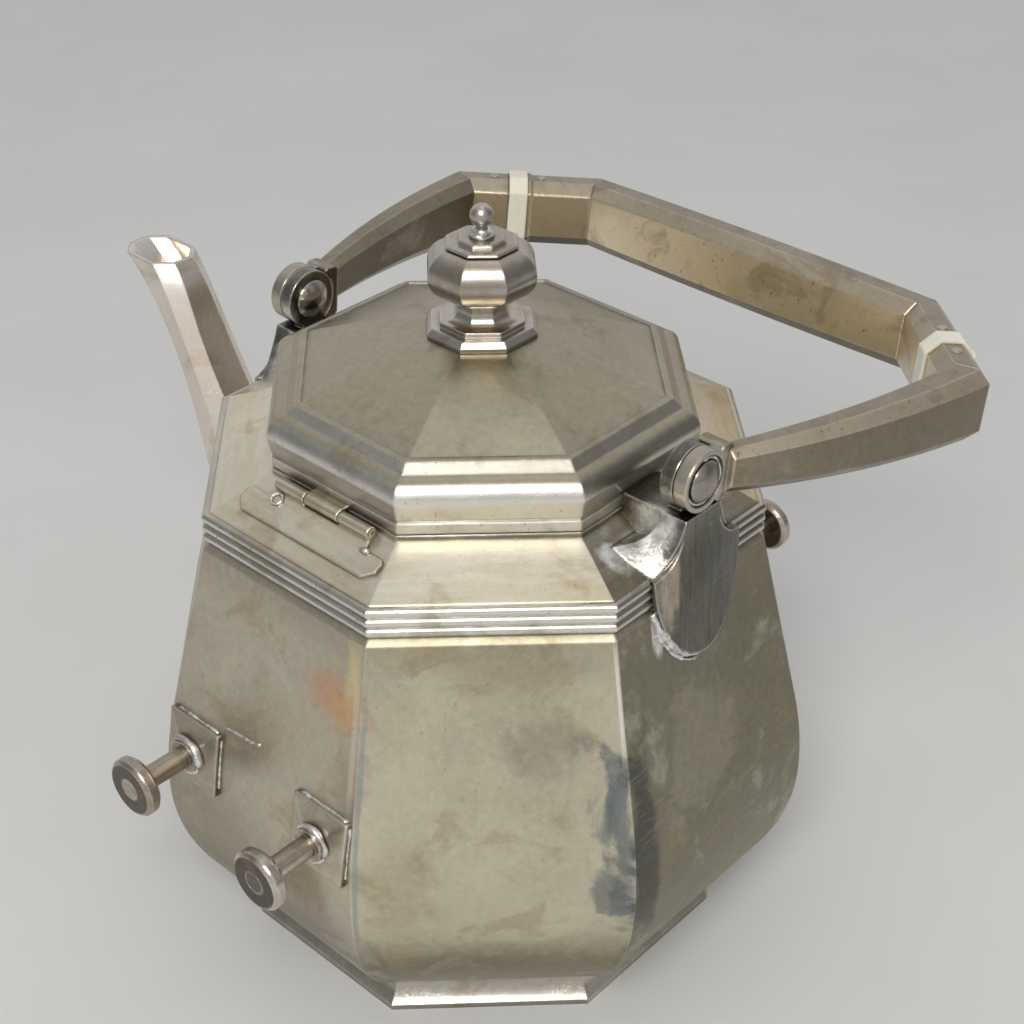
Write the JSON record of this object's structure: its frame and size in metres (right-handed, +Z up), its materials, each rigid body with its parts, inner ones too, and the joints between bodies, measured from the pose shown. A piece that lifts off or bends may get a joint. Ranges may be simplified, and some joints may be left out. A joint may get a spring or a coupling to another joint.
{
  "type": "spirit kettle",
  "caption": "Octagonal metal spirit kettle with faceted spout, hinged panelled lid with turned finial, swinging insulated bail handle and belly spools that hang it in a stand",
  "frame": {"origin": "centre of the foot's underside, on the kettle's vertical axis", "axes": "+Z up; the spout points to -X; the handle's pivots are at -X and +X and it swings about X; the lid's hinge is at -Y and the dropped handle lies toward +Y"},
  "size_m": [0.2154, 0.2072, 0.1909],
  "materials": {
    "kettle_metal": "tarnished silver plate, worn bright on edges",
    "handle_metal": "darker tarnished silver plate with fine speckles",
    "insulator": "smooth ivory-coloured insulating discs"
  },
  "bodies": {
    "kettle": {"base_plate": "kettle_metal", "body_shell": "kettle_metal", "bracket_left": "kettle_metal", "bracket_right": "kettle_metal", "foot_ring": "kettle_metal", "hinge_leaf": "kettle_metal", "hinge_pin": "kettle_metal", "neck_ring": "kettle_metal", "reed_moulding": "kettle_metal", "rivet_left": "kettle_metal", "rivet_right": "kettle_metal", "shoulder": "kettle_metal", "spool_disc_back_left": "kettle_metal", "spool_disc_back_right": "kettle_metal", "spool_disc_front_left": "kettle_metal", "spool_disc_front_right": "kettle_metal", "spool_pin_back_left": "kettle_metal", "spool_pin_back_right": "kettle_metal", "spool_pin_front_left": "kettle_metal", "spool_pin_front_right": "kettle_metal", "spool_plate_back_left": "kettle_metal", "spool_plate_back_right": "kettle_metal", "spool_plate_front_left": "kettle_metal", "spool_plate_front_right": "kettle_metal", "spout": "kettle_metal"},
    "lid": {"finial_cap": "kettle_metal", "finial_knob": "kettle_metal", "finial_nut": "kettle_metal", "finial_plinth": "kettle_metal", "finial_stud": "kettle_metal", "hinge_strap": "kettle_metal", "lid_bezel": "kettle_metal", "lid_cover": "kettle_metal"},
    "handle": {"arm_left": "handle_metal", "arm_right": "handle_metal", "elbow_left": "handle_metal", "elbow_pin_left": "handle_metal", "elbow_pin_right": "handle_metal", "elbow_right": "handle_metal", "grip": "handle_metal", "grip_end_left": "handle_metal", "grip_end_right": "handle_metal", "grip_pin_left": "handle_metal", "grip_pin_right": "handle_metal", "insulator_left": "insulator", "insulator_right": "insulator"}
  },
  "joints": [
    {"name": "handle_swing", "type": "hinge", "parent": "kettle", "child": "handle", "pos_m": [0, 0, 0.1472], "axis": [1, 0, 0], "range_deg": [0, 191]},
    {"name": "lid_hinge", "type": "hinge", "parent": "kettle", "child": "lid", "pos_m": [0, -0.05028, 0.13543], "axis": [1, 0, 0], "range_deg": [0, 100]}
  ]
}
